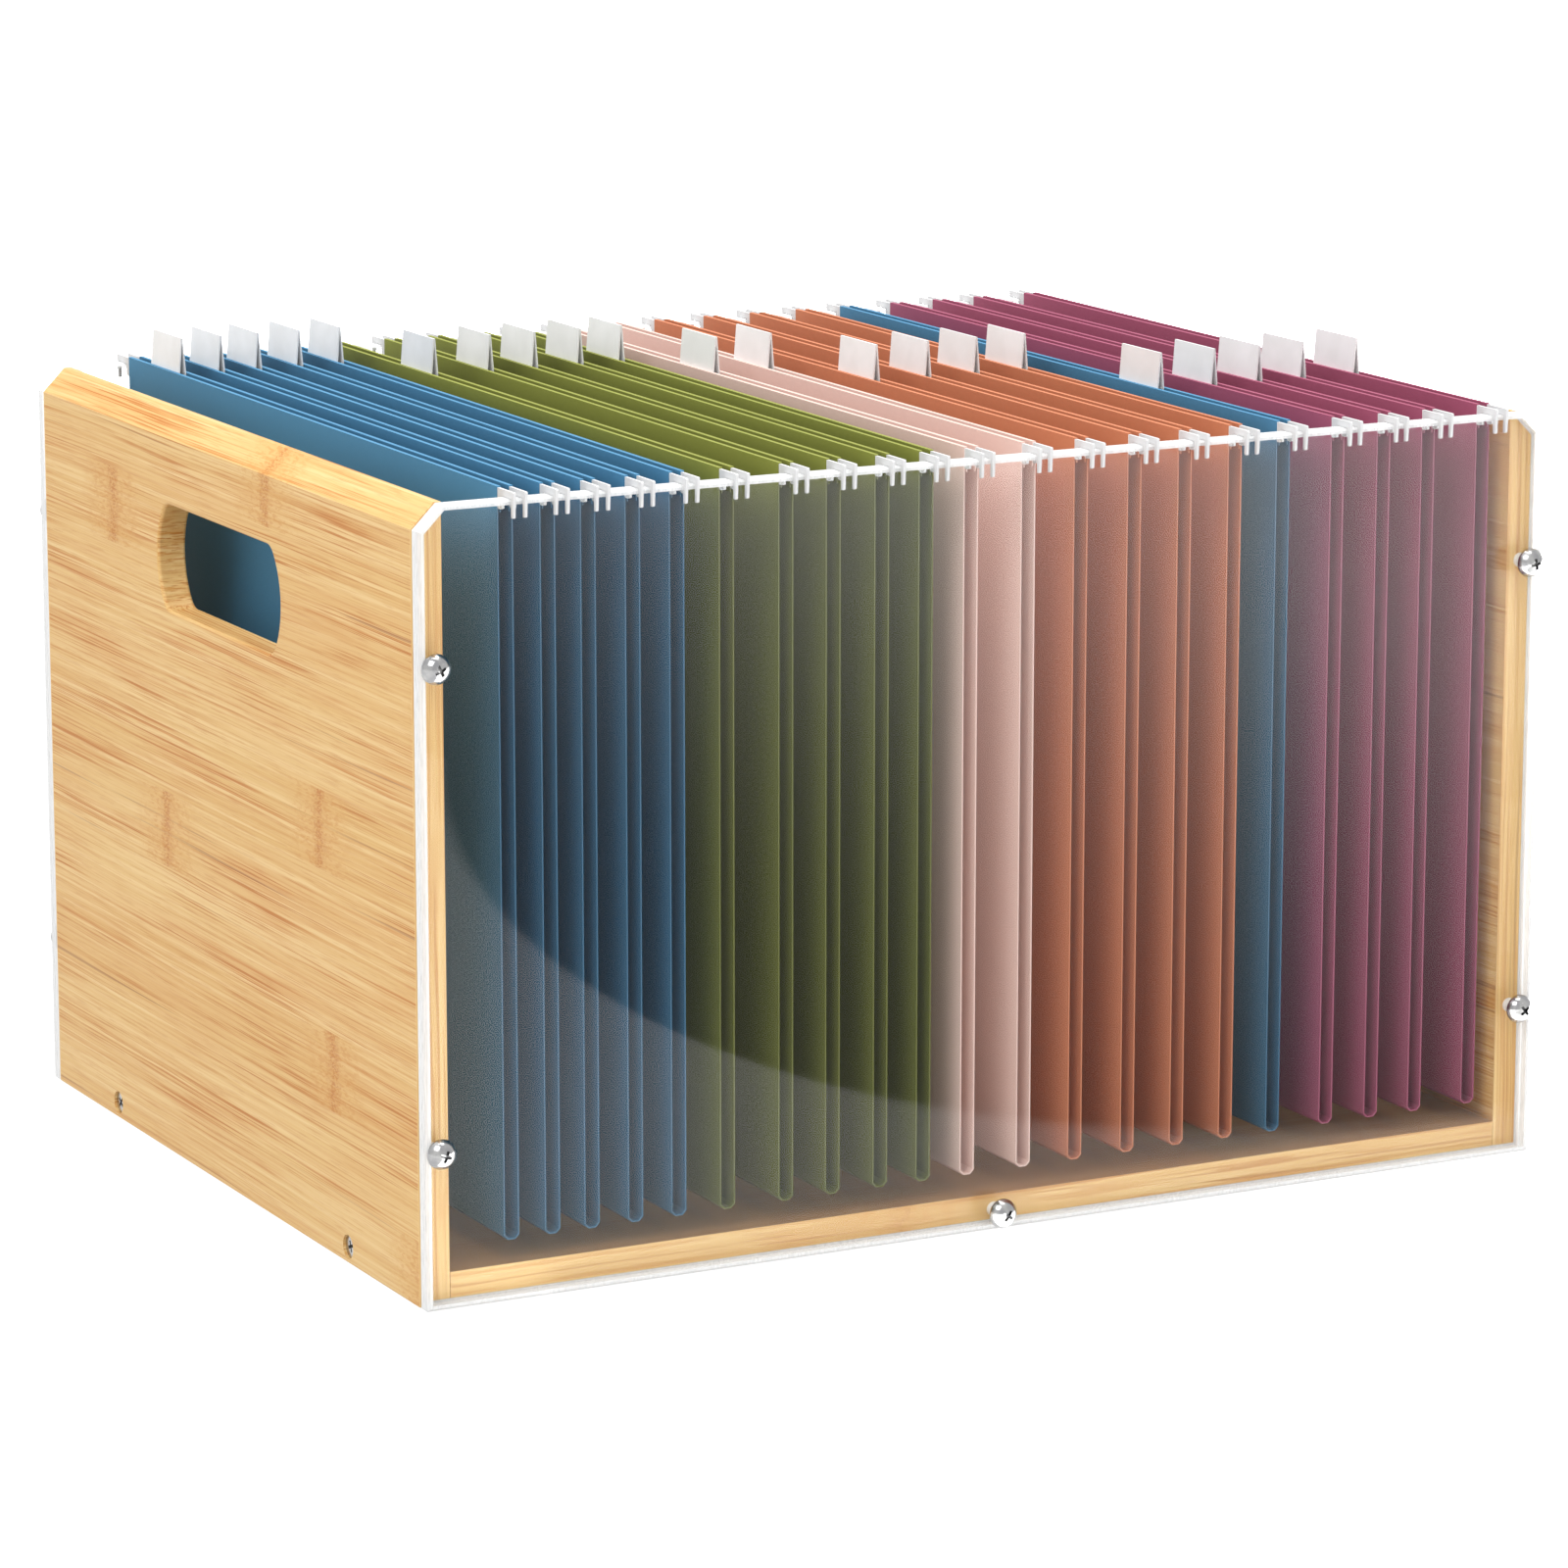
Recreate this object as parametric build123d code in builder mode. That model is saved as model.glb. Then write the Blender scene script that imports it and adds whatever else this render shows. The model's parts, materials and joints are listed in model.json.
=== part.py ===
# Desktop file sorter: a bamboo tray with clear acrylic ends, whose top edges are
# the rails for 21 hanging folders.
#
# Frame: origin under the middle of the box, on the surface it stands on.
# +X along the width (folders side by side), +Y to the back, +Z up. Millimetres.

import os

from build123d import *

os.makedirs("parts", exist_ok=True)

# Box
width = 401.0  # over the side panels' outer faces
bamboo_depth = 305.0  # side panels and base, front to back
height = 249.0  # top of the rails
bamboo = 10.0  # thickness of the side panels and the base
acrylic = 6.0  # thickness of the front and back panels
corner = 7.7  # 45 degree corner on each side panel's top edge
bevel = 0.8  # polished bevel round both faces of an acrylic panel
base_gap = 0.2  # play between the base and each side panel

# Handle hole in each side panel
handle_length = 102.0
handle_height = 35.0
handle_middle = 201.8  # height of its middle above the surface
handle_end = 7.5  # how far each end bulges out
handle_corner = 7.0
handle_edge = 1.2  # rounding of the hole's edges

# Round-head screws through the acrylic
head_radius = 4.75
head_height = 4.2
head_rim = 0.6  # straight side of the head under its dome
shank_radius = 1.9
shank_point = 4.0  # length of the screw's tapered end
round_length = 25.0  # under the head
pilot_radius = 2.0  # hole in the bamboo
panel_hole_radius = 2.3  # hole in the acrylic
screw_rise = 75.0  # upper and lower screws from half the height
cross_length = 3.8
cross_width = 1.0
cross_depth = 2.4
cross_taper = 6.0  # degrees that the recess's walls lean in

# Countersunk screws through the side panels into the base
csk_radius = 3.85
csk_sink = 0.9  # how deep the head's flat top lies
csk_shank = 1.8
csk_length = 32.0
csk_play = 0.05  # room round the head in its seat
csk_place = 97.5  # front and back of the middle

# Folders
card = 0.4  # thickness of the card
sleeve_width = 5.2  # outside, across both flaps
sleeve_length = 298.5  # along the depth
sleeve_top = height + 2.6
sleeve_bottom = 16.5
sleeve_corner = 1.4  # folded corners along the bottom
hem_height = 8.0
hem_width = 1.3  # card, rod and card again

# Hangers: a flat rod in each hem, with a hook over the rail at each end
rod_height = 6.4
rod = 0.5
hook = 0.9  # thickness of the hook's plate
rail_play = 0.3  # each side of the rail
seat_play = 0.1  # between the hook and the top of the rail
inner_leg = 1.4  # width of the short leg inside the rail
inner_drop = 3.9  # its tip below the top of the rail
outer_leg = 1.8
outer_drop = 5.7
leg_draft = 0.5  # how much each leg narrows to its tip

# Tabs: an upside-down V of label card across each folder's two hems
tab_length = 25.0
tab_rise = 11.7  # above the folder's top
tab_card = 0.45
tab_ridge = 0.35  # half the width of the V's folded top
tab_tuck = 6.0  # length held between the hems

# Colour, tab place from the middle of the depth, and each folder's distance from
# the box's left face. The tabs stand in the folders' slots, 40 mm apart.
folder_groups = [
    ("blue", 119.5, [32.5, 46.5, 60.0, 75.0, 90.0]),
    ("green", 79.5, [107.0, 127.5, 144.0, 161.0, 176.5]),
    ("pink", 39.5, [192.5, 213.0]),
    ("orange", -0.5, [232.0, 251.5, 270.0, 288.5]),
    ("blue", -60.0, [306.5]),
    ("purple", -60.0, [327.0, 344.5, 361.5, 382.5]),
]

half_width = width / 2
half_depth = bamboo_depth / 2
inner_half = half_width - bamboo
side_screw_x = half_width - bamboo / 2
low_screw = height / 2 - screw_rise
high_screw = height / 2 + screw_rise
sleeve_half = sleeve_width / 2
hem_middle = sleeve_half - hem_width / 2
rod_top = sleeve_top - card

# Screw places on an end panel, as (x, z), and the turn of each screw's cross
end_screws = [
    (-side_screw_x, high_screw, 25),
    (-side_screw_x, low_screw, 70),
    (side_screw_x, high_screw, 10),
    (side_screw_x, low_screw, 40),
    (0, bamboo / 2, 55),
]


def save(part, name):
    """Label one sub-part and write it as its own STEP file."""
    part.label = name
    export_step(part, f"parts/{name}.step")


def cross_cutter(top, turn):
    """Solid that cuts a cross-shaped driver recess down from the height `top`."""
    with BuildPart() as cutter:
        with BuildSketch(Plane.XY.offset(top)):
            Rectangle(cross_length, cross_width, rotation=turn)
            Rectangle(cross_width, cross_length, rotation=turn)
        extrude(amount=-cross_depth, taper=cross_taper)
    return cutter.part


def round_screw(seat, turn):
    """Round-head screw with its head on the plane `seat`, whose normal points out."""
    recess = cross_cutter(head_height, turn)
    with BuildPart() as screw:
        with BuildSketch(Plane.XZ):
            with BuildLine():
                TangentArc((0, head_height), (head_radius, head_rim), tangent=(1, 0))
                Polyline(
                    (head_radius, head_rim),
                    (head_radius, 0),
                    (shank_radius, 0),
                    (shank_radius, shank_point - round_length),
                    (0, -round_length),
                    (0, head_height),
                )
            make_face()
        revolve(axis=Axis.Z)
        add(recess, mode=Mode.SUBTRACT)
    return screw.part.moved(seat.location)


def csk_outline(play):
    """Half outline of a countersunk screw or, with play, of the seat it lies in."""
    rim = csk_radius + play
    neck = csk_shank + play
    Polyline(
        (0, -csk_sink),
        (rim, -csk_sink),
        (neck, -csk_sink - rim + neck),
        (neck, -csk_length - play),
        (0, -csk_length - play),
        (0, -csk_sink),
    )


def csk_screw(seat, turn):
    """Countersunk screw, sunk below the plane `seat`, whose normal points out."""
    recess = cross_cutter(-csk_sink, turn)
    with BuildPart() as screw:
        with BuildSketch(Plane.XZ):
            with BuildLine():
                csk_outline(0)
            make_face()
        revolve(axis=Axis.Z)
        point = screw.edges().sort_by(Axis.Z)[0]
        chamfer(point, length=csk_shank - 0.2)
        add(recess, mode=Mode.SUBTRACT)
    return screw.part.moved(seat.location)


def csk_seats(side):
    """Planes on a side panel's outer face where its countersunk screws go in."""
    return [
        Plane(origin=(side * half_width, y, bamboo / 2), x_dir=(0, 1, 0), z_dir=(side, 0, 0))
        for y in (-csk_place, csk_place)
    ]


def csk_cutters(side):
    """Solids that cut the countersunk screws' seats on one side of the box."""
    with BuildPart() as cutter:
        with BuildSketch(Plane.XZ):
            with BuildLine():
                csk_outline(csk_play)
            make_face()
        revolve(axis=Axis.Z)
        with BuildSketch(Plane.XY.offset(-csk_sink)):
            Circle(csk_radius + csk_play)
        extrude(amount=2 * csk_sink)
    return [cutter.part.moved(seat.location) for seat in csk_seats(side)]


def side_panel(side):
    """Bamboo side panel, with a handle hole; side is -1 on the left, 1 on the right."""
    with BuildPart() as panel:
        with BuildSketch(Plane.XZ):
            with BuildLine():
                outer = side * half_width
                inner = side * inner_half
                Polyline(
                    (inner, 0),
                    (outer, 0),
                    (outer, height - corner),
                    (outer - side * corner, height),
                    (inner, height),
                    (inner, 0),
                )
            make_face()
        extrude(amount=half_depth, both=True)
        with BuildSketch(Plane.YZ.offset(side * half_width)) as hole:
            with BuildLine():
                straight = handle_length / 2 - handle_end
                low = handle_middle - handle_height / 2
                high = handle_middle + handle_height / 2
                Line((-straight, low), (straight, low))
                ThreePointArc((straight, low), (handle_length / 2, handle_middle), (straight, high))
                Line((straight, high), (-straight, high))
                ThreePointArc((-straight, high), (-handle_length / 2, handle_middle), (-straight, low))
            make_face()
            fillet(hole.vertices(), radius=handle_corner)
        extrude(amount=-side * bamboo, mode=Mode.SUBTRACT)
        near_handle = panel.edges().filter_by_position(
            Axis.Z, handle_middle - handle_height / 2 - 1, handle_middle + handle_height / 2 + 1
        )
        rims = [
            edge
            for edge in near_handle
            if abs(edge.center().Y) < handle_length / 2 + 1 and edge.bounding_box().size.X < 1e-3
        ]
        fillet(rims, radius=handle_edge)
        for end in (-1, 1):
            with BuildSketch(Plane.XZ.offset(end * half_depth)):
                with Locations((side * side_screw_x, low_screw), (side * side_screw_x, high_screw)):
                    Circle(pilot_radius)
            extrude(amount=-end * round_length, mode=Mode.SUBTRACT)
        for cutter in csk_cutters(side):
            add(cutter, mode=Mode.SUBTRACT)
    return panel.part


def end_panel(end):
    """Clear acrylic panel that closes the box; end is -1 at the front, 1 at the back."""
    inner_face = Plane.XZ.offset(-end * half_depth)
    with BuildPart() as panel:
        with BuildSketch(inner_face) as outline:
            Rectangle(width, height, align=(Align.CENTER, Align.MIN))
            chamfer(outline.vertices().group_by(Axis.Y)[-1], length=corner)
        extrude(amount=-end * acrylic)
        rims = [face.outer_wire().edges() for face in panel.faces().filter_by(Axis.Y)]
        chamfer([edge for rim in rims for edge in rim], length=bevel)
        with BuildSketch(inner_face):
            with Locations(*[(x, z) for x, z, turn in end_screws]):
                Circle(panel_hole_radius)
        extrude(amount=-end * acrylic, mode=Mode.SUBTRACT)
    return panel.part


def end_panel_screws(end):
    """The five screws that hold an acrylic panel, as separate solids."""
    face_y = end * (half_depth + acrylic)
    with BuildPart() as screws:
        for x, z, turn in end_screws:
            seat = Plane(origin=(x, face_y, z), x_dir=(-end, 0, 0), z_dir=(0, end, 0))
            add(round_screw(seat, turn))
    return screws.part


def side_panel_screws(side):
    """The two screws that hold the base on one side, as separate solids."""
    with BuildPart() as screws:
        for seat, turn in zip(csk_seats(side), (20, 50)):
            add(csk_screw(seat, turn))
    return screws.part


def sleeve(x):
    """Folder sleeve: one sheet folded to a U, with its top edges hemmed inwards."""
    with BuildPart() as folder:
        with BuildSketch(Plane.XZ.offset(-sleeve_length / 2)):
            with BuildLine():
                inside = sleeve_half - card
                hem_inside = sleeve_half - hem_width
                Polyline(
                    (0, sleeve_bottom),
                    (sleeve_half - sleeve_corner, sleeve_bottom),
                    (sleeve_half, sleeve_bottom + sleeve_corner),
                    (sleeve_half, sleeve_top),
                    (hem_inside, sleeve_top),
                    (hem_inside, sleeve_top - hem_height),
                    (hem_inside + card, sleeve_top - hem_height),
                    (hem_inside + card, sleeve_top - card),
                    (inside, sleeve_top - card),
                    (inside, sleeve_bottom + sleeve_corner + card / 2),
                    (inside - sleeve_corner + card / 2, sleeve_bottom + card),
                    (0, sleeve_bottom + card),
                    (0, sleeve_bottom),
                )
            make_face()
            mirror(about=Plane.YZ)
        extrude(amount=sleeve_length)
    return folder.part.moved(Location((x, 0, 0)))


def hanger(x):
    """Flat rod with a hook at each end, standing in the plane at x."""
    with BuildPart() as rod_and_hooks:
        with BuildSketch(Plane.YZ.offset(x - rod / 2)):
            with Locations((0, rod_top - rod_height / 2)):
                Rectangle(sleeve_length, rod_height)
        extrude(amount=rod)
        with BuildSketch(Plane.YZ.offset(x - hook / 2)) as plates:
            with BuildLine():
                card_end = sleeve_length / 2
                rail_in = half_depth - rail_play
                rail_out = half_depth + acrylic + rail_play
                notch_top = height + seat_play
                Polyline(
                    (card_end, rod_top),
                    (rail_out + outer_leg, rod_top),
                    (rail_out + outer_leg - leg_draft, height - outer_drop),
                    (rail_out, height - outer_drop),
                    (rail_out, notch_top),
                    (rail_in, notch_top),
                    (rail_in, height - inner_drop),
                    (rail_in - inner_leg + leg_draft, height - inner_drop),
                    (rail_in - inner_leg, rod_top - rod_height),
                    (card_end, rod_top - rod_height),
                    (card_end, rod_top),
                )
            make_face()
            tips = plates.vertices().group_by(Axis.Y)[0] + plates.vertices().group_by(Axis.Y)[1]
            fillet(tips, radius=0.4)
            fillet(plates.vertices().sort_by(Axis.X)[-1], radius=0.6)
            mirror(about=Plane.YZ)
        extrude(amount=hook)
    return rod_and_hooks.part


def tab(x, y):
    """Label folded to an upside-down V, its feet tucked between the hems."""
    foot = sleeve_half - hem_width
    with BuildPart() as label:
        with BuildSketch(Plane.XZ.offset(-y - tab_length / 2)):
            with BuildLine():
                Polyline(
                    (0, sleeve_top + tab_rise),
                    (tab_ridge, sleeve_top + tab_rise),
                    (foot, sleeve_top),
                    (foot, sleeve_top - tab_tuck),
                    (foot - tab_card, sleeve_top - tab_tuck),
                    (foot - tab_card, sleeve_top),
                    (0, sleeve_top + tab_rise - 1.6),
                    (0, sleeve_top + tab_rise),
                )
            make_face()
            mirror(about=Plane.YZ)
        extrude(amount=tab_length)
    return label.part.moved(Location((x, 0, 0)))


def hangers_and_tab(x, tab_place):
    """Both hangers of one folder and its tab, as separate solids."""
    with BuildPart() as group:
        add(hanger(x - hem_middle))
        add(hanger(x + hem_middle))
        add(tab(x, tab_place))
    return group.part


with BuildPart() as base_board:
    base_length = 2 * (inner_half - base_gap)
    Box(base_length, bamboo_depth, bamboo, align=(Align.CENTER, Align.CENTER, Align.MIN))
    for end in (-1, 1):
        with BuildSketch(Plane.XZ.offset(end * half_depth)):
            with Locations((0, bamboo / 2)):
                Circle(pilot_radius)
        extrude(amount=-end * round_length, mode=Mode.SUBTRACT)
    for cutter in csk_cutters(-1) + csk_cutters(1):
        add(cutter, mode=Mode.SUBTRACT)

save(base_board.part, "base_board")
save(side_panel(-1), "left_side_panel")
save(side_panel(1), "right_side_panel")
save(end_panel(-1), "front_panel")
save(end_panel(1), "back_panel")
save(end_panel_screws(-1), "front_panel_screws")
save(end_panel_screws(1), "back_panel_screws")
save(side_panel_screws(-1), "left_base_screws")
save(side_panel_screws(1), "right_base_screws")

number = 0
for colour, tab_place, places in folder_groups:
    for place in places:
        number += 1
        folder_x = place - half_width
        save(sleeve(folder_x), f"folder_{number:02d}_sleeve")
        save(hangers_and_tab(folder_x, tab_place), f"folder_{number:02d}_hangers")
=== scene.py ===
"""Desktop file sorter: materials, stage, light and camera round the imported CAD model."""

import json
import math

import bpy
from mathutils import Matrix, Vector


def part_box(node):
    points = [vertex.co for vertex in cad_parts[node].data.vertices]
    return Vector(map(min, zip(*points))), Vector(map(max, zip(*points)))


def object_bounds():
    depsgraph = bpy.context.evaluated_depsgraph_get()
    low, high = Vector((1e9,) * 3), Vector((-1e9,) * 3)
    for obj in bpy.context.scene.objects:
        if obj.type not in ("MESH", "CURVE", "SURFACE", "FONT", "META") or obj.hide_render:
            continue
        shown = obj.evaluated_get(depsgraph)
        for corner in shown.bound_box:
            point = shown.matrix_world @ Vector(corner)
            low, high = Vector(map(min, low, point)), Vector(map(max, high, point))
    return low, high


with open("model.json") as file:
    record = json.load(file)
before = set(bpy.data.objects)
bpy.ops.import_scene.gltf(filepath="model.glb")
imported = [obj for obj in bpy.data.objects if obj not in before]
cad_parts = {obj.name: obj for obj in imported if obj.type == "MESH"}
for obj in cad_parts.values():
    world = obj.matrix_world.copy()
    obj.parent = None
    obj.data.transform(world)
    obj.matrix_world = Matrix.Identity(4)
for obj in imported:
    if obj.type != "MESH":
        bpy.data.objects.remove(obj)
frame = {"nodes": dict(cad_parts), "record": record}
cad_low, cad_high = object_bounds()
centre = (cad_low + cad_high) / 2


# ---------------------------------------------------------------- sizes and colours

FACE_SKIN = 0.0004      # a surface within this of a box's side counts as lying on it
STRIP = 0.0255          # height of one bamboo strip
NODE_PERIOD = 0.42      # distance between a strip's growth nodes
NODE_OFFSET = 5.04      # whole periods, which keep the position along a strip above zero
NODE_HALF = 0.0065      # half length of the marks round a growth node

CREAM_WOOD = (0.860, 0.605, 0.275)
PALE_WOOD = (0.755, 0.475, 0.165)
WARM_WOOD = (0.730, 0.425, 0.140)
ORANGE_WOOD = (0.630, 0.270, 0.056)
BROWN_WOOD = (0.540, 0.195, 0.034)
DARK_WOOD = (0.350, 0.115, 0.024)
CUT_WOOD = (0.930, 0.650, 0.300)
SHADE_WOOD = (0.200, 0.095, 0.040)

RIM_GLOW_WIDTH = 0.0016    # width of the white rim painted on the acrylic's broad faces as a highlight of its polished edges
RIM_BLUR = 0.0002       # width over which the rim fades out
CORNER_CUT = 0.0077     # how far the top corners are cut back, in width and height together
DIAGONAL = 0.7071       # distance to a corner's slanting side, per unit of width plus height
MIRROR_AHEAD = 0.0089   # share of light that each broad face mirrors, seen straight on
MIRROR_SLANT = 0.12     # and what is added to it, edge on
AIR_GAP = 0.00006       # between the acrylic and the wood, so the two never share a face

CARD_SHADE_REACH = 0.045      # reach of the painted shade between folders
BOARD_SHADE_REACH = 0.06      # and of the painted shade on the base under them
HOOK_START = 0.1495     # how far along the depth the hooks begin
# the hooks' white in painted shade, the same plastic as the tabs
HOOK_SHADED_WHITE = (0.66, 0.66, 0.665)

# Two tones of each dyed card, and how far painted shade darkens its colour between folders
CARD_COLOURS = {
    "card_blue": ((0.086, 0.272, 0.462), (0.091, 0.282, 0.478), 0.64),
    "card_green": ((0.290, 0.315, 0.062), (0.303, 0.328, 0.068), 0.70),
    "card_pink": ((0.815, 0.585, 0.515), (0.835, 0.605, 0.535), 0.05),
    "card_orange": ((0.620, 0.222, 0.112), (0.640, 0.235, 0.120), 0.16),
    "card_purple": ((0.385, 0.095, 0.165), (0.402, 0.102, 0.175), 0.16),
}

FLOOR_SIZE = 60
POOL_CENTRE = (0.632, -0.988)   # the ellipse whose inside stays without the brighter light
POOL_HALF = (0.381, 0.922)
POOL_TURN = 0.61
POOL_GLOW = 3.3
FAR_GLOW = 5.6
FLOOR_LIGHT = 0.65              # what the floor gives to the surfaces that it lights

CAMERA_PLACE = (-0.9563, -1.8561, 0.5671)
CAMERA_YAW = 27.345             # degrees to the right of straight at the front
CAMERA_PITCH = 12.23            # degrees down
CAMERA_LENS = 145.59


# ---------------------------------------------------------------- shader helpers

class Nodes:
    """A material's node tree, with short calls for the nodes used here."""

    def __init__(self, name):
        self.material = bpy.data.materials.new(name)
        self.material.use_nodes = True
        self.tree = self.material.node_tree
        self.tree.nodes.clear()
        self.output = self.tree.nodes.new("ShaderNodeOutputMaterial")
        self.place = self.tree.nodes.new("ShaderNodeTexCoord")

    def link(self, source, target):
        self.tree.links.new(source, target)

    def put(self, node, socket, value):
        """Sets a socket to a number, a colour or another node's output."""
        target = node.inputs[socket]
        if hasattr(value, "is_output"):
            self.link(value, target)
        else:
            target.default_value = value

    def math(self, operation, a, b=0.0):
        node = self.tree.nodes.new("ShaderNodeMath")
        node.operation = operation
        self.put(node, 0, a)
        self.put(node, 1, b)
        return node.outputs[0]

    def split(self, vector):
        node = self.tree.nodes.new("ShaderNodeSeparateXYZ")
        self.link(vector, node.inputs[0])
        return node.outputs

    def join(self, x, y, z):
        node = self.tree.nodes.new("ShaderNodeCombineXYZ")
        for socket, value in enumerate((x, y, z)):
            self.put(node, socket, value)
        return node.outputs[0]

    def shifted(self, vector, offset):
        node = self.tree.nodes.new("ShaderNodeVectorMath")
        node.operation = "ADD"
        self.link(vector, node.inputs[0])
        self.link(offset, node.inputs[1])
        return node.outputs[0]

    def stretch(self, vector, scale, shift=(0, 0, 0)):
        node = self.tree.nodes.new("ShaderNodeMapping")
        self.link(vector, node.inputs["Vector"])
        node.inputs["Scale"].default_value = scale
        node.inputs["Location"].default_value = shift
        return node.outputs[0]

    def noise(self, vector, detail=3.0, roughness=0.55, distortion=0.0):
        node = self.tree.nodes.new("ShaderNodeTexNoise")
        self.link(vector, node.inputs["Vector"])
        node.inputs["Scale"].default_value = 1.0
        node.inputs["Detail"].default_value = detail
        node.inputs["Roughness"].default_value = roughness
        node.inputs["Distortion"].default_value = distortion
        return node.outputs["Fac"]

    def random(self, value):
        """One random number from 0 to 1 for each whole number."""
        node = self.tree.nodes.new("ShaderNodeTexWhiteNoise")
        node.noise_dimensions = "1D"
        self.link(value, node.inputs["W"])
        return node.outputs["Value"]

    def ramp(self, value, low, high, first=0.0, last=1.0):
        """Maps value from low..high to first..last, smoothly and held at both ends."""
        node = self.tree.nodes.new("ShaderNodeMapRange")
        node.interpolation_type = "SMOOTHSTEP"
        self.put(node, "Value", value)
        node.inputs["From Min"].default_value = low
        node.inputs["From Max"].default_value = high
        node.inputs["To Min"].default_value = first
        node.inputs["To Max"].default_value = last
        return node.outputs["Result"]

    def mix(self, share, a, b):
        """Colour a turning to colour b as share goes from 0 to 1."""
        node = self.tree.nodes.new("ShaderNodeMix")
        node.data_type = "RGBA"
        self.put(node, "Factor", share)
        for socket, value in ((6, a), (7, b)):
            self.put(node, socket, value if hasattr(value, "is_output") else (*value, 1.0))
        return node.outputs[2]

    def mix_vector(self, share, a, b):
        node = self.tree.nodes.new("ShaderNodeMix")
        node.data_type = "VECTOR"
        self.put(node, "Factor", share)
        self.link(a, node.inputs[4])
        self.link(b, node.inputs[5])
        return node.outputs[1]

    def mix_shader(self, share, a, b):
        node = self.tree.nodes.new("ShaderNodeMixShader")
        self.link(share, node.inputs[0])
        self.link(a, node.inputs[1])
        self.link(b, node.inputs[2])
        return node.outputs[0]

    def bump(self, height, strength, distance):
        node = self.tree.nodes.new("ShaderNodeBump")
        node.inputs["Strength"].default_value = strength
        node.inputs["Distance"].default_value = distance
        self.link(height, node.inputs["Height"])
        return node.outputs["Normal"]

    def nearness(self, distance):
        """1 in the open, falling to 0 where other faces within `distance` close it in."""
        node = self.tree.nodes.new("ShaderNodeAmbientOcclusion")
        node.samples = 6
        node.inputs["Distance"].default_value = distance
        return node.outputs["AO"]

    def principled(self, **sockets):
        """The Principled shader; a socket's name has _ for each space."""
        node = self.tree.nodes.new("ShaderNodeBsdfPrincipled")
        for name, value in sockets.items():
            if isinstance(value, tuple) and len(value) == 3:
                value = (*value, 1.0)
            self.put(node, name.replace("_", " "), value)
        return node.outputs[0]

    def finish(self, shader):
        self.link(shader, self.output.inputs["Surface"])
        return self.material


def dress(node, material):
    """Gives a CAD node one material."""
    slots = frame["nodes"][node].data.materials
    slots.clear()
    slots.append(material)


# ---------------------------------------------------------------- materials

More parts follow.
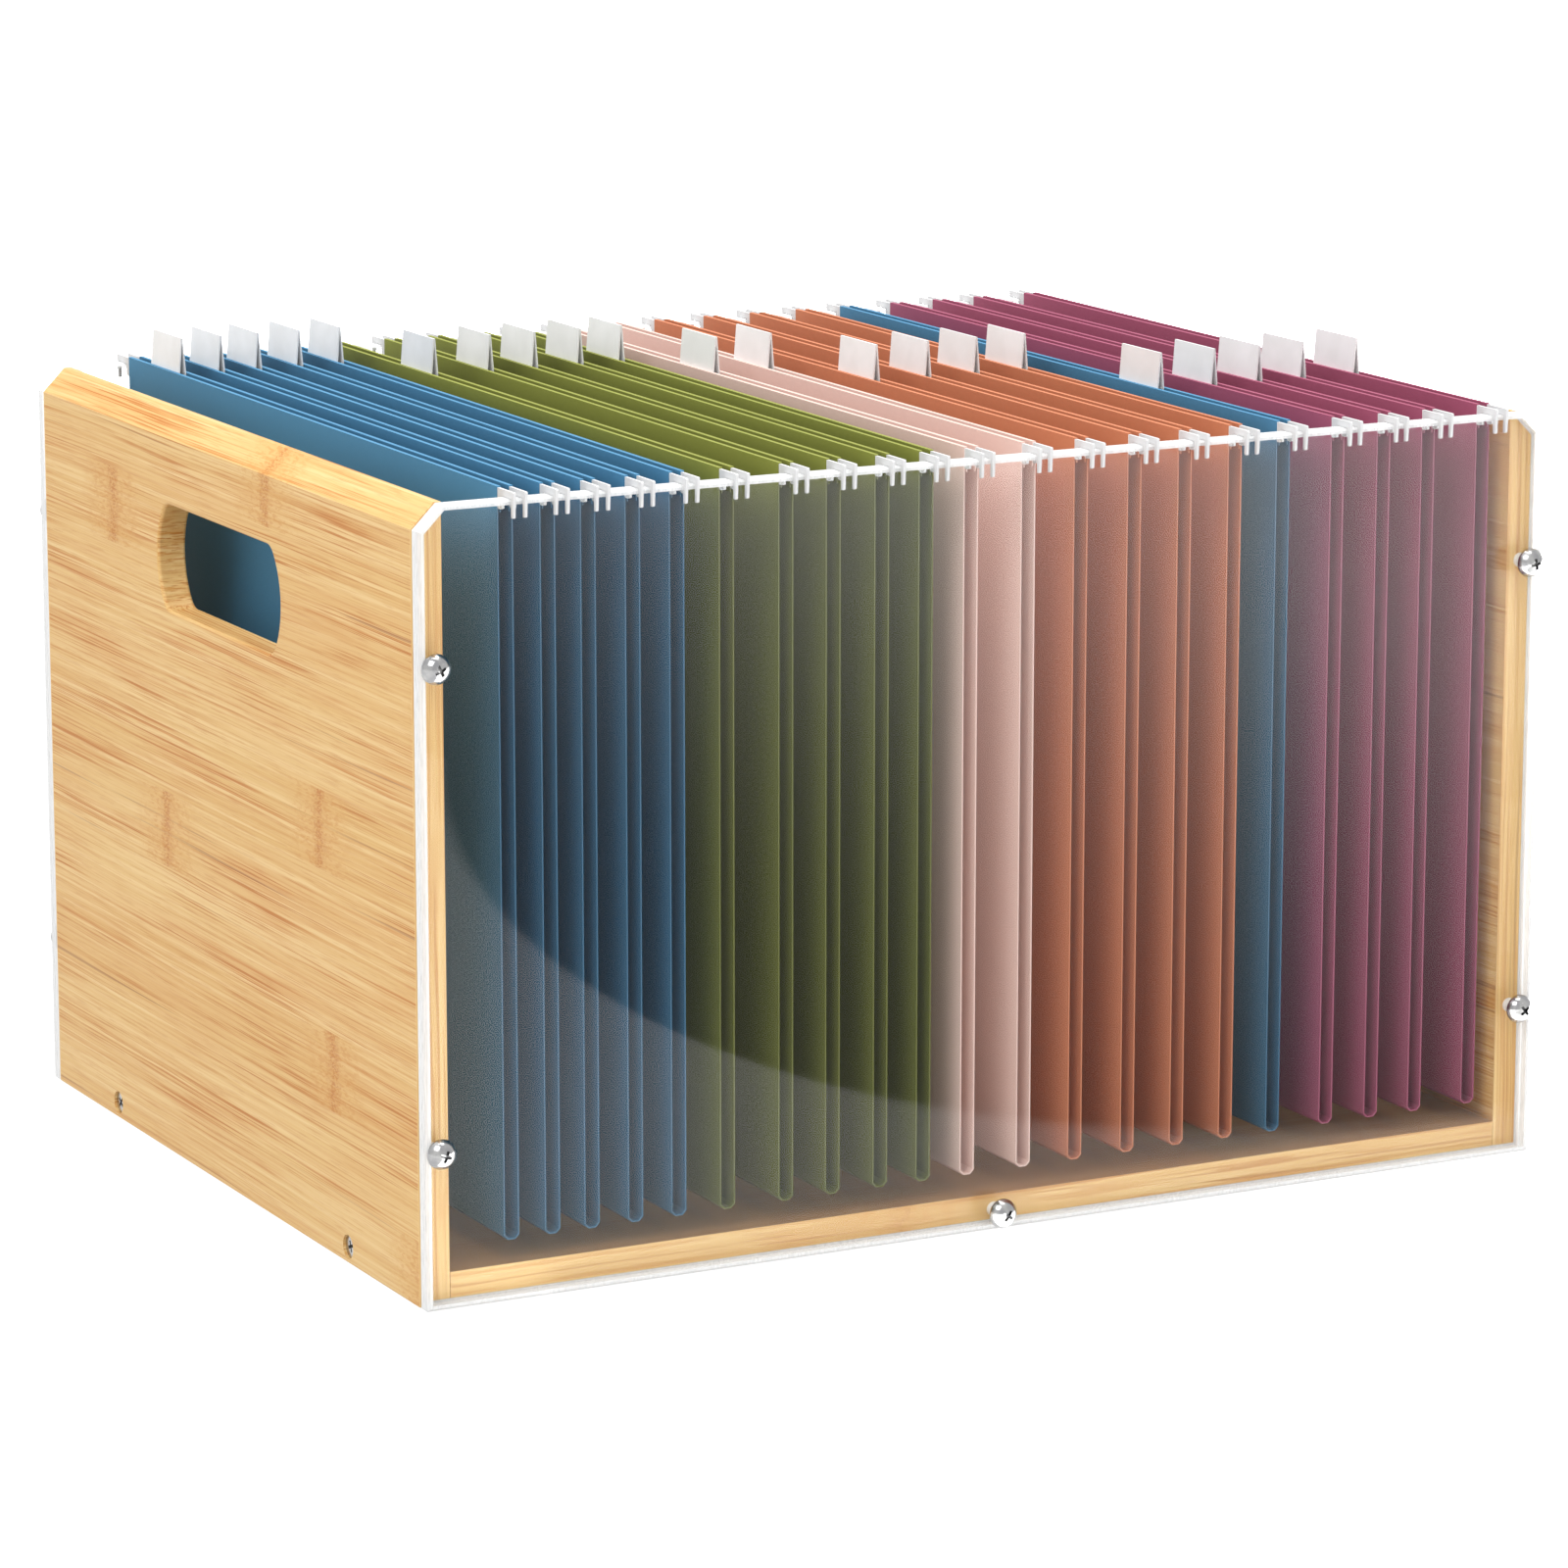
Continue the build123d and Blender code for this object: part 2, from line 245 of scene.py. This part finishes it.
def bamboo(name, along, ends, cut, seed, shade=0.0):
    """Laminated bamboo. Its fibres run on the axis `along`; the faces past `ends`
    on that axis show fibres running up the sheet instead. The sawn faces past `cut`
    at the front and back are paler. `shade` is how far painted shade darkens its upper
    face where things hang close above it."""
    n = Nodes(name)
    x, y, z = n.split(n.place.outputs["Object"])
    run, rise, through = (y, z, x) if along == "Y" else (x, y, z)
    at_end = n.math("GREATER_THAN", n.math("ABSOLUTE", run), ends)
    on_cut = n.math("GREATER_THAN", n.math("ABSOLUTE", y), cut)
    facing_run = n.split(n.place.outputs["Normal"])["XY".index(along)]
    across = n.math("GREATER_THAN", n.math("ABSOLUTE", facing_run), 0.5)

    # The sheet in which the fibres lie: through it, along them and up. The grain is
    # wider on faces that cut through the sheet.
    thinned = n.math("ADD", n.math("MULTIPLY", across, 0.6), n.math("MULTIPLY", on_cut, 0.3))
    depth = n.math("MULTIPLY", through, n.math("SUBTRACT", 0.7, thinned))
    sheet = n.join(depth, run, rise)
    end_face = n.join(n.math("MULTIPLY", run, 0.35), z, n.math("MULTIPLY", through, 0.55))
    grain = n.mix_vector(at_end, sheet, end_face)

    # The fibres wander a little from straight
    wander = n.noise(n.stretch(grain, (6, 4, 22), (seed, 0, 0)), detail=2)
    aside = n.math("MULTIPLY", n.math("SUBTRACT", wander, 0.5), 0.003)
    fibre = n.shifted(grain, n.join(0.0, 0.0, aside))

    # Clouds, streaks and hair-fine lines, all long on the run of the fibres
    cloud = n.noise(n.stretch(fibre, (30, 7, 45), (seed, seed, 0)))
    patch = n.noise(n.stretch(fibre, (90, 9, 110), (seed, 2 * seed, 0)))
    glow = n.noise(n.stretch(fibre, (560, 6, 560), (seed, 5, seed)), roughness=0.6)
    streaks = n.noise(n.stretch(fibre, (1250, 6.5, 1250), (0, seed, seed)), roughness=0.5)
    lines = n.noise(n.stretch(fibre, (1900, 8, 1900), (seed, 0, seed)), detail=2, roughness=0.5)
    hairs = n.noise(n.stretch(fibre, (2100, 50, 2100), (0, 0, seed)), detail=2, roughness=0.6)
    long_lines = n.noise(n.stretch(fibre, (380, 3.2, 380), (seed, seed, seed)), detail=2)

    # Strips of the lamination, each with its own tone and growth nodes
    strip = n.math("FLOOR", n.math("DIVIDE", n.math("ADD", rise, 0.0047 * seed), STRIP))
    tone = n.random(n.math("ADD", strip, seed * 3.1))
    place = n.random(n.math("ADD", strip, seed * 7.7 + 50))
    along_strip = n.math("ADD", run, n.math("MULTIPLY", place, NODE_PERIOD))
    in_period = n.math("MODULO", n.math("ADD", along_strip, NODE_OFFSET), NODE_PERIOD)
    from_node = n.math("ABSOLUTE", n.math("SUBTRACT", in_period, NODE_PERIOD / 2))
    on_sheet = n.math("SUBTRACT", 1.0, at_end)
    ragged = n.noise(n.stretch(grain, (300, 260, 120), (seed, 3, 0)))
    reach = n.math("ADD", from_node, n.math("MULTIPLY", n.math("SUBTRACT", ragged, 0.5), 0.010))
    at_node = n.math("MULTIPLY", n.ramp(reach, NODE_HALF, 0.0), on_sheet)
    round_node = n.math("MULTIPLY", n.ramp(reach, 0.030, 0.006), on_sheet)
    squiggle = n.noise(n.stretch(grain, (1500, 820, 1800), (seed, 9, 0)), detail=2, roughness=0.6)
    flecks = n.noise(n.stretch(grain, (700, 260, 1100), (seed, 4, 0)), detail=2, distortion=0.6)

    # From the broad tones to the finest marks, each laid over the last
    patchy = n.ramp(patch, 0.38, 0.66, 0.16, 1.0)
    strength = n.math("MAXIMUM", patchy, n.math("MULTIPLY", on_cut, 0.8))
    streaky = n.math("MULTIPLY", n.ramp(streaks, 0.55, 0.61, 0.0, 0.85), strength)
    lined = n.math("MULTIPLY", n.ramp(lines, 0.56, 0.61, 0.0, 0.95), strength)
    marks = n.math("MULTIPLY", at_node, n.ramp(squiggle, 0.46, 0.56, 0.0, 0.75))
    layers = (
        (n.ramp(cloud, 0.34, 0.66), WARM_WOOD),
        (n.math("MULTIPLY", tone, 0.45), CREAM_WOOD),
        (n.ramp(patch, 0.50, 0.72, 0.0, 0.35), ORANGE_WOOD),
        (n.ramp(glow, 0.50, 0.36, 0.0, 0.70), CREAM_WOOD),
        (n.ramp(glow, 0.54, 0.68, 0.0, 0.25), ORANGE_WOOD),
        (streaky, ORANGE_WOOD),
        (lined, BROWN_WOOD),
        (n.ramp(hairs, 0.54, 0.66, 0.0, 0.30), BROWN_WOOD),
        (n.ramp(long_lines, 0.67, 0.72, 0.0, 0.55), DARK_WOOD),
        (n.math("MULTIPLY", round_node, 0.55), WARM_WOOD),
        (n.math("MULTIPLY", round_node, n.ramp(flecks, 0.50, 0.60, 0.0, 0.55)), ORANGE_WOOD),
        (n.math("MULTIPLY", at_node, 0.32), ORANGE_WOOD),
        (marks, BROWN_WOOD),
        (n.math("MULTIPLY", on_cut, 0.28), CUT_WOOD),
    )
    colour = PALE_WOOD
    for share, tint in layers:
        colour = n.mix(share, colour, tint)
    # Painted shade: the upper face darkens towards SHADE_WOOD where the occlusion test finds things
    # hanging close above it
    if shade:
        on_top = n.math("GREATER_THAN", n.split(n.place.outputs["Normal"])[2], 0.5)
        board_painted_shade = n.ramp(n.nearness(BOARD_SHADE_REACH), 0.95, 0.25, 0.0, shade)
        colour = n.mix(n.math("MULTIPLY", board_painted_shade, on_top), colour, SHADE_WOOD)

    height = n.math("SUBTRACT", n.math("MULTIPLY", lines, 0.6), n.math("MULTIPLY", marks, 0.8))
    return n.finish(
        n.principled(
            Base_Color=colour,
            Roughness=n.ramp(lines, 0.3, 0.7, 0.40, 0.54),
            Specular_IOR_Level=0.35,
            Normal=n.bump(height, 0.35, 0.0003),
        )
    )


def acrylic(node):
    """Clear acrylic sheet with bright sawn and polished edges, and a painted highlight: a
    white rim on its broad faces along those edges. Light and sight pass straight through
    its broad faces, which also mirror a little, more on a slant."""
    low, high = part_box(node)
    n = Nodes("clear_acrylic")
    place = n.place.outputs["Object"]
    x, _, z = n.split(place)
    facing = n.split(n.place.outputs["Normal"])[1]
    side_in = n.math("SUBTRACT", high.x, n.math("ABSOLUTE", x))
    top_in = n.math("SUBTRACT", high.z, z)
    inset = n.math("MINIMUM", n.math("MINIMUM", side_in, top_in), n.math("SUBTRACT", z, low.z))
    past_corner = n.math("SUBTRACT", n.math("ADD", side_in, top_in), CORNER_CUT)
    corner_in = n.math("MULTIPLY", past_corner, DIAGONAL)
    # Painted highlight: a white band on the broad faces along the sides, top and cut corners stands in
    # for light gathered by the polished edges; the sawn edge faces are frosted white
    rim = n.ramp(n.math("MINIMUM", inset, corner_in), RIM_GLOW_WIDTH + RIM_BLUR, RIM_GLOW_WIDTH)
    edge_face = n.math("LESS_THAN", n.math("ABSOLUTE", facing), 0.7)
    bright = n.math("MAXIMUM", n.math("MULTIPLY", rim, 0.82), n.math("MULTIPLY", edge_face, 0.90))

    scratches = n.noise(n.stretch(place, (2200, 2200, 160)))
    smear = n.noise(n.stretch(place, (9, 9, 26)), detail=4, distortion=0.8)
    through = n.tree.nodes.new("ShaderNodeBsdfTransparent")
    through.inputs["Color"].default_value = (0.990, 0.994, 0.992, 1.0)
    gloss = n.tree.nodes.new("ShaderNodeBsdfGlossy")
    gloss.inputs["Color"].default_value = (1.0, 1.0, 1.0, 1.0)
    n.link(n.ramp(smear, 0.45, 0.85, 0.0, 0.05), gloss.inputs["Roughness"])

    # The mirrored share is the same on both sides of a face, so no view turns it opaque
    slant = n.tree.nodes.new("ShaderNodeLayerWeight")
    slant.inputs["Blend"].default_value = 0.5
    slanted = n.math("MULTIPLY", n.math("POWER", slant.outputs["Facing"], 4.0), MIRROR_SLANT)
    mirrored = n.math("ADD", MIRROR_AHEAD, slanted)
    pane = n.mix_shader(mirrored, through.outputs[0], gloss.outputs[0])
    frosted_edge_and_glow = n.principled(
        Base_Color=n.mix(n.ramp(scratches, 0.35, 0.7), (0.78, 0.79, 0.79), (0.90, 0.905, 0.905)),
        Roughness=n.ramp(scratches, 0.3, 0.7, 0.22, 0.38),
        Normal=n.bump(scratches, 0.03, 0.00005),
    )
    return n.finish(n.mix_shader(bright, pane, frosted_edge_and_glow))


def screw_metal():
    """Bright plated steel with hair-fine turning marks."""
    n = Nodes("plated_steel")
    place = n.place.outputs["Object"]
    fine = n.noise(n.stretch(place, (3000, 3000, 3000)), detail=2)
    cloud = n.noise(n.stretch(place, (260, 260, 260)))
    return n.finish(
        n.principled(
            Base_Color=n.mix(n.ramp(cloud, 0.3, 0.7), (0.42, 0.42, 0.43), (0.56, 0.56, 0.55)),
            Metallic=1.0,
            Roughness=n.ramp(cloud, 0.3, 0.75, 0.12, 0.28),
            Normal=n.bump(fine, 0.12, 0.0001),
        )
    )


def card(name, deep, pale, shade):
    """Dyed card: short fibres of two tones, gentle waves, and painted shade where sheets
    hang close together; `shade` is how far that painted shade darkens the colour."""
    n = Nodes(name)
    place = n.place.outputs["Object"]
    fibres = n.noise(n.stretch(place, (900, 300, 700)), detail=4, roughness=0.7)
    cloud = n.noise(n.stretch(place, (22, 10, 14)), detail=2)
    mixed = n.mix(n.ramp(fibres, 0.30, 0.72), deep, pale)
    clouded = n.mix(n.ramp(cloud, 0.35, 0.75, 0.0, 0.25), mixed, pale)
    # Painted shade: where the occlusion test finds sheets hanging close, the colour darkens towards a
    # deep tone of the dye
    card_painted_shade = n.ramp(n.nearness(CARD_SHADE_REACH), 0.60, 0.10, 0.0, shade)
    return n.finish(
        n.principled(
            Base_Color=n.mix(card_painted_shade, clouded, tuple(0.16 * c + 0.004 for c in deep)),
            Roughness=n.ramp(fibres, 0.3, 0.7, 0.60, 0.64),
            Specular_IOR_Level=0.15,
            Normal=n.bump(cloud, 0.04, 0.0004),
        )
    )


def white_plastic():
    """Moulded white plastic and label card, with a fine grain. The hooks, which lie past
    the sleeves' ends, are painted in shade: a greyer white than the tabs of the same plastic."""
    n = Nodes("white_plastic")
    place = n.place.outputs["Object"]
    grain = n.noise(n.stretch(place, (1800, 1800, 1800)))
    cloud = n.noise(n.stretch(place, (70, 70, 70)), detail=2)
    tint = n.mix(n.ramp(cloud, 0.35, 0.7), (0.88, 0.88, 0.875), (0.94, 0.94, 0.94))
    hook_shade_mask = n.math("GREATER_THAN", n.math("ABSOLUTE", n.split(place)[1]), HOOK_START)
    return n.finish(
        n.principled(
            # Painted shade: the hooks get a greyer white than the tabs of the same plastic
            Base_Color=n.mix(n.math("MULTIPLY", hook_shade_mask, 0.75), tint, HOOK_SHADED_WHITE),
            Roughness=n.ramp(grain, 0.3, 0.7, 0.38, 0.52),
            Normal=n.bump(grain, 0.05, 0.0001),
        )
    )


def dress_all():
    """Gives every CAD node its material: the timber by node, the rest by slot."""
    finishes = {
        "acrylic": acrylic("front_panel"),
        "screw_metal": screw_metal(),
        "white_plastic": white_plastic(),
    }
    for slot, (deep, pale, shade) in CARD_COLOURS.items():
        finishes[slot] = card(slot, deep, pale, shade)
    side_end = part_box("left_side_panel")[1].y - FACE_SKIN
    base_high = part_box("base_board")[1]
    base_end, base_cut = base_high.x - FACE_SKIN, base_high.y - FACE_SKIN
    timber = {
        "left_side_panel": bamboo("bamboo_left", "Y", side_end, side_end, 1.0),
        "right_side_panel": bamboo("bamboo_right", "Y", side_end, side_end, 2.0),
        "base_board": bamboo("bamboo_base", "X", base_end, base_cut, 4.0, shade=0.75),
    }
    for part in frame["record"]["subparts"]:
        node = part["node"]
        dress(node, timber.get(node) or finishes[part["material_slot"]])


def draw_in(node):
    """Moves a panel's surface inwards by a hair of air."""
    air = frame["nodes"][node].modifiers.new("air_gap", "DISPLACE")
    air.mid_level = 0.0
    air.strength = -AIR_GAP


# ---------------------------------------------------------------- stage, light, camera

def stage_floor():
    """A plain near-white floor, level with the underside. Light gathers left of the
    front, up to the round rim of an ellipse, and far to the right; the front panel
    mirrors both faintly, and both are plain white seen directly."""
    bpy.ops.mesh.primitive_plane_add(size=FLOOR_SIZE, location=(0, 0, cad_low.z - 0.0002))
    floor = bpy.context.object
    floor.name = "floor"
    n = Nodes("floor_white")
    x, y, _ = n.split(n.place.outputs["Object"])
    cos, sin = math.cos(POOL_TURN), math.sin(POOL_TURN)
    right = n.math("SUBTRACT", x, POOL_CENTRE[0])
    back = n.math("SUBTRACT", y, POOL_CENTRE[1])
    u = n.math("ADD", n.math("MULTIPLY", right, cos), n.math("MULTIPLY", back, sin))
    v = n.math("SUBTRACT", n.math("MULTIPLY", back, cos), n.math("MULTIPLY", right, sin))
    u, v = n.math("DIVIDE", u, POOL_HALF[0]), n.math("DIVIDE", v, POOL_HALF[1])
    out = n.math("SQRT", n.math("ADD", n.math("MULTIPLY", u, u), n.math("MULTIPLY", v, v)))
    in_depth = n.math("LESS_THAN", n.math("ABSOLUTE", n.math("ADD", y, 0.53)), 0.37)
    in_width = n.math("LESS_THAN", n.math("ABSOLUTE", n.math("SUBTRACT", x, 0.12)), 0.33)
    near = n.math("MULTIPLY", in_depth, in_width)
    pool = n.math("MULTIPLY", n.ramp(out, 0.995, 1.005), near)
    far_right = n.ramp(x, 0.06, 0.85)
    extra = n.math("ADD", n.math("MULTIPLY", pool, POOL_GLOW), n.math("MULTIPLY", far_right, FAR_GLOW))
    path = n.tree.nodes.new("ShaderNodeLightPath")
    seen = n.math("SUBTRACT", 1.0, path.outputs["Is Diffuse Ray"])
    glow = n.math("MULTIPLY", n.math("ADD", 1.0, extra), seen)
    floor.data.materials.append(
        n.finish(
            n.principled(
                Base_Color=(0.08, 0.08, 0.08),
                Roughness=0.9,
                Specular_IOR_Level=0.0,
                Emission_Color=(1.0, 1.0, 1.0),
                Emission_Strength=n.math("MAXIMUM", glow, FLOOR_LIGHT),
            )
        )
    )


def area_light(name, place, size, power):
    """A square soft box at `place`, aimed at the middle of the object."""
    lamp = bpy.data.lights.new(name, "AREA")
    lamp.shape = "SQUARE"
    lamp.size = size
    lamp.energy = power
    holder = bpy.data.objects.new(name, lamp)
    holder.location = centre + Vector(place)
    holder.rotation_mode = "QUATERNION"
    holder.rotation_quaternion = Vector(place).to_track_quat("Z", "Y")
    bpy.context.scene.collection.objects.link(holder)


def lights():
    """A white studio, whose walls light a little less than they show, and two soft boxes."""
    world = bpy.data.worlds.new("studio")
    world.use_nodes = True
    background = world.node_tree.nodes["Background"]
    background.inputs["Color"].default_value = (1.0, 1.0, 1.0, 1.0)
    path = world.node_tree.nodes.new("ShaderNodeLightPath")
    share = world.node_tree.nodes.new("ShaderNodeMapRange")
    share.inputs["To Min"].default_value = 0.80
    share.inputs["To Max"].default_value = 1.0
    world.node_tree.links.new(path.outputs["Is Camera Ray"], share.inputs["Value"])
    world.node_tree.links.new(share.outputs["Result"], background.inputs["Strength"])
    bpy.context.scene.world = world
    area_light("key", (-1.5, -0.9, 1.9), 1.4, 24)
    area_light("top", (0.2, 0.3, 2.3), 1.4, 42)


def camera():
    """Eye about two metres off, to the left of the front and a little above."""
    yaw, pitch = math.radians(CAMERA_YAW), math.radians(CAMERA_PITCH)
    data = bpy.data.cameras.new("camera")
    data.sensor_width = 36.0
    data.lens = CAMERA_LENS
    data.clip_start = 0.05
    data.clip_end = 200
    holder = bpy.data.objects.new("camera", data)
    ahead = math.cos(pitch)
    look = Vector((math.sin(yaw) * ahead, math.cos(yaw) * ahead, -math.sin(pitch)))
    holder.location = Vector(CAMERA_PLACE)
    holder.rotation_mode = "QUATERNION"
    holder.rotation_quaternion = look.to_track_quat("-Z", "Y")
    bpy.context.scene.collection.objects.link(holder)
    bpy.context.scene.camera = holder


dress_all()
draw_in("front_panel")
draw_in("back_panel")
stage_floor()
lights()
camera()
bpy.context.scene.view_settings.view_transform = "Standard"
bpy.context.scene.view_settings.look = "None"
